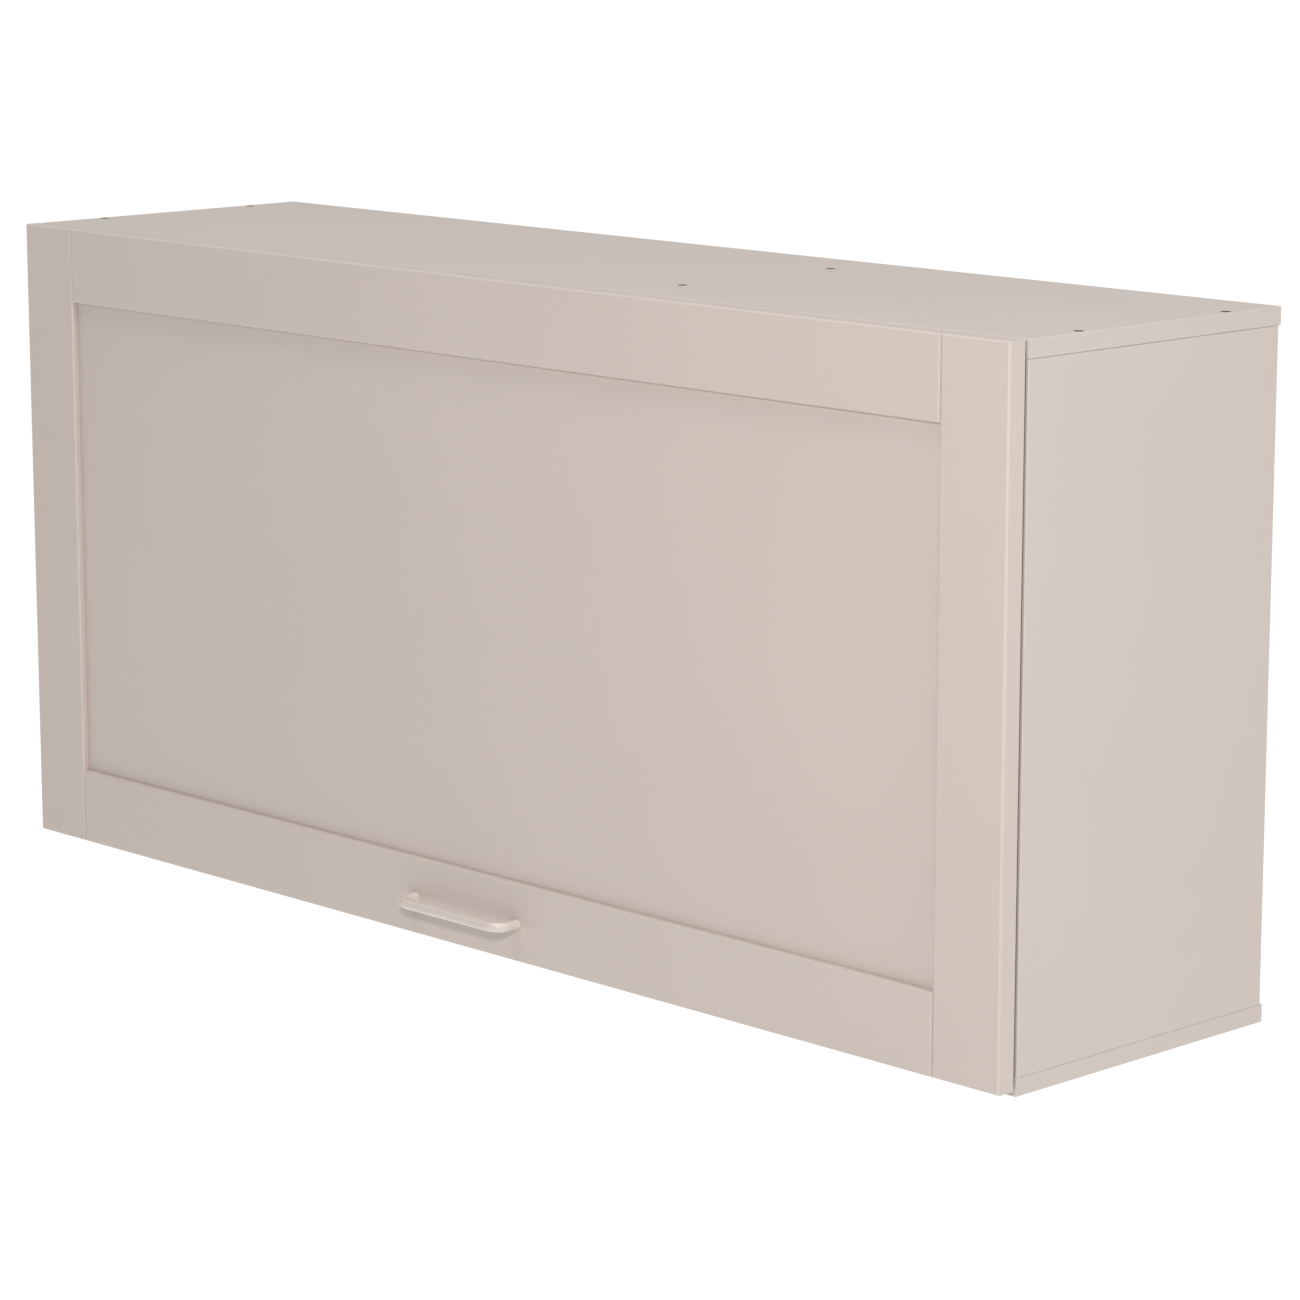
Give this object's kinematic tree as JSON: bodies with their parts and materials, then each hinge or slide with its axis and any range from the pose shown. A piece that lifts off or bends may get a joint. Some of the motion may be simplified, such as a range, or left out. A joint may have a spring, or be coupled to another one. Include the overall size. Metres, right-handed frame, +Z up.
{
  "type": "lift up wall cabinet",
  "caption": "Wide wall cabinet with a framed flap that lifts on concealed top hinges and gas struts, and a bow handle.",
  "frame": {"origin": "bottom middle of the wall side, on the plane that lies against the wall", "axes": "+X to the right seen from the front, +Y into the wall, +Z up; the flap faces -Y"},
  "size_m": [1.2, 0.3422, 0.575],
  "materials": {
    "carcase_board": "satin greige melamine facing on particle board",
    "inside_board": "satin greige melamine facing on particle board",
    "flap_front": "satin greige foil on fibreboard",
    "back_sheet": "raw hardboard outside, pale foil inside",
    "beech": "raw",
    "plated_steel": "zinc plated",
    "hinge_steel": "nickel plated",
    "soft_plastic": "soft clear",
    "tube_paint": "satin dark grey paint",
    "rod_chrome": "polished",
    "black_plastic": "matte",
    "handle_enamel": "glossy greige enamel"
  },
  "bodies": {
    "carcase": {"top_panel": "carcase_board", "bottom_panel": "carcase_board", "left_side_panel": "carcase_board", "right_side_panel": "carcase_board", "partition": "inside_board", "left_back_sheet": "back_sheet", "right_back_sheet": "back_sheet", "left_batten": "inside_board", "right_batten": "inside_board", "left_shelf": "inside_board", "right_shelf": "inside_board", "shelf_pins": "plated_steel", "top_screws": "plated_steel", "bottom_screws": "plated_steel", "carcase_dowels": "beech", "batten_dowels": "beech", "back_nails": "plated_steel", "flap_bumpers": "soft_plastic", "left_hinge_plate": "hinge_steel", "middle_hinge_plate": "hinge_steel", "right_hinge_plate": "hinge_steel", "left_hinge_arm": "hinge_steel", "middle_hinge_arm": "hinge_steel", "right_hinge_arm": "hinge_steel", "hinge_plate_screws": "plated_steel", "hinge_arm_screws": "plated_steel", "left_strut_anchor": "hinge_steel", "right_strut_anchor": "hinge_steel", "strut_anchor_screws": "plated_steel"},
    "left_strut_tube_body": {"left_strut_tube": "tube_paint", "left_strut_guide": "black_plastic", "left_tube_socket": "black_plastic"},
    "right_strut_tube_body": {"right_strut_tube": "tube_paint", "right_strut_guide": "black_plastic", "right_tube_socket": "black_plastic"},
    "left_strut_rod_body": {"left_strut_rod": "rod_chrome", "left_rod_socket": "black_plastic", "left_rod_stud": "hinge_steel"},
    "right_strut_rod_body": {"right_strut_rod": "rod_chrome", "right_rod_socket": "black_plastic", "right_rod_stud": "hinge_steel"},
    "flap": {"flap_left_stile": "flap_front", "flap_right_stile": "flap_front", "flap_top_rail": "flap_front", "flap_bottom_rail": "flap_front", "flap_panel": "flap_front", "handle": "handle_enamel", "handle_screws": "plated_steel", "left_hinge_cup": "hinge_steel", "middle_hinge_cup": "hinge_steel", "right_hinge_cup": "hinge_steel", "hinge_pins": "hinge_steel", "hinge_cup_screws": "plated_steel", "left_strut_bracket": "hinge_steel", "right_strut_bracket": "hinge_steel", "strut_bracket_screws": "plated_steel"}
  },
  "joints": [
    {"name": "flap_lift", "type": "hinge", "parent": "carcase", "child": "flap", "pos_m": [0, -0.308, 0.5684], "axis": [-1, 0, 0], "range_deg": [0, 90]},
    {"name": "left_strut_swing", "type": "hinge", "parent": "carcase", "child": "left_strut_tube_body", "pos_m": [-0.571, -0.202, 0.3784], "axis": [1, 0, 0], "range_deg": [0, 15.39]},
    {"name": "left_strut_slide", "type": "slide", "parent": "left_strut_tube_body", "child": "left_strut_rod_body", "axis": [0, -0.4819, 0.8762], "range_m": [0, 0.0646]},
    {"name": "right_strut_swing", "type": "hinge", "parent": "carcase", "child": "right_strut_tube_body", "pos_m": [0.571, -0.202, 0.3784], "axis": [1, 0, 0], "range_deg": [0, 15.39]},
    {"name": "right_strut_slide", "type": "slide", "parent": "right_strut_tube_body", "child": "right_strut_rod_body", "axis": [0, -0.4819, 0.8762], "range_m": [0, 0.0646]}
  ],
  "couplings": [
    {"joint": "left_strut_swing", "follows": "flap_lift", "ratio": 0.16984},
    {"joint": "left_strut_slide", "follows": "flap_lift", "m_per_rad": 0.041},
    {"joint": "right_strut_swing", "follows": "flap_lift", "ratio": 0.16984},
    {"joint": "right_strut_slide", "follows": "flap_lift", "m_per_rad": 0.041}
  ]
}
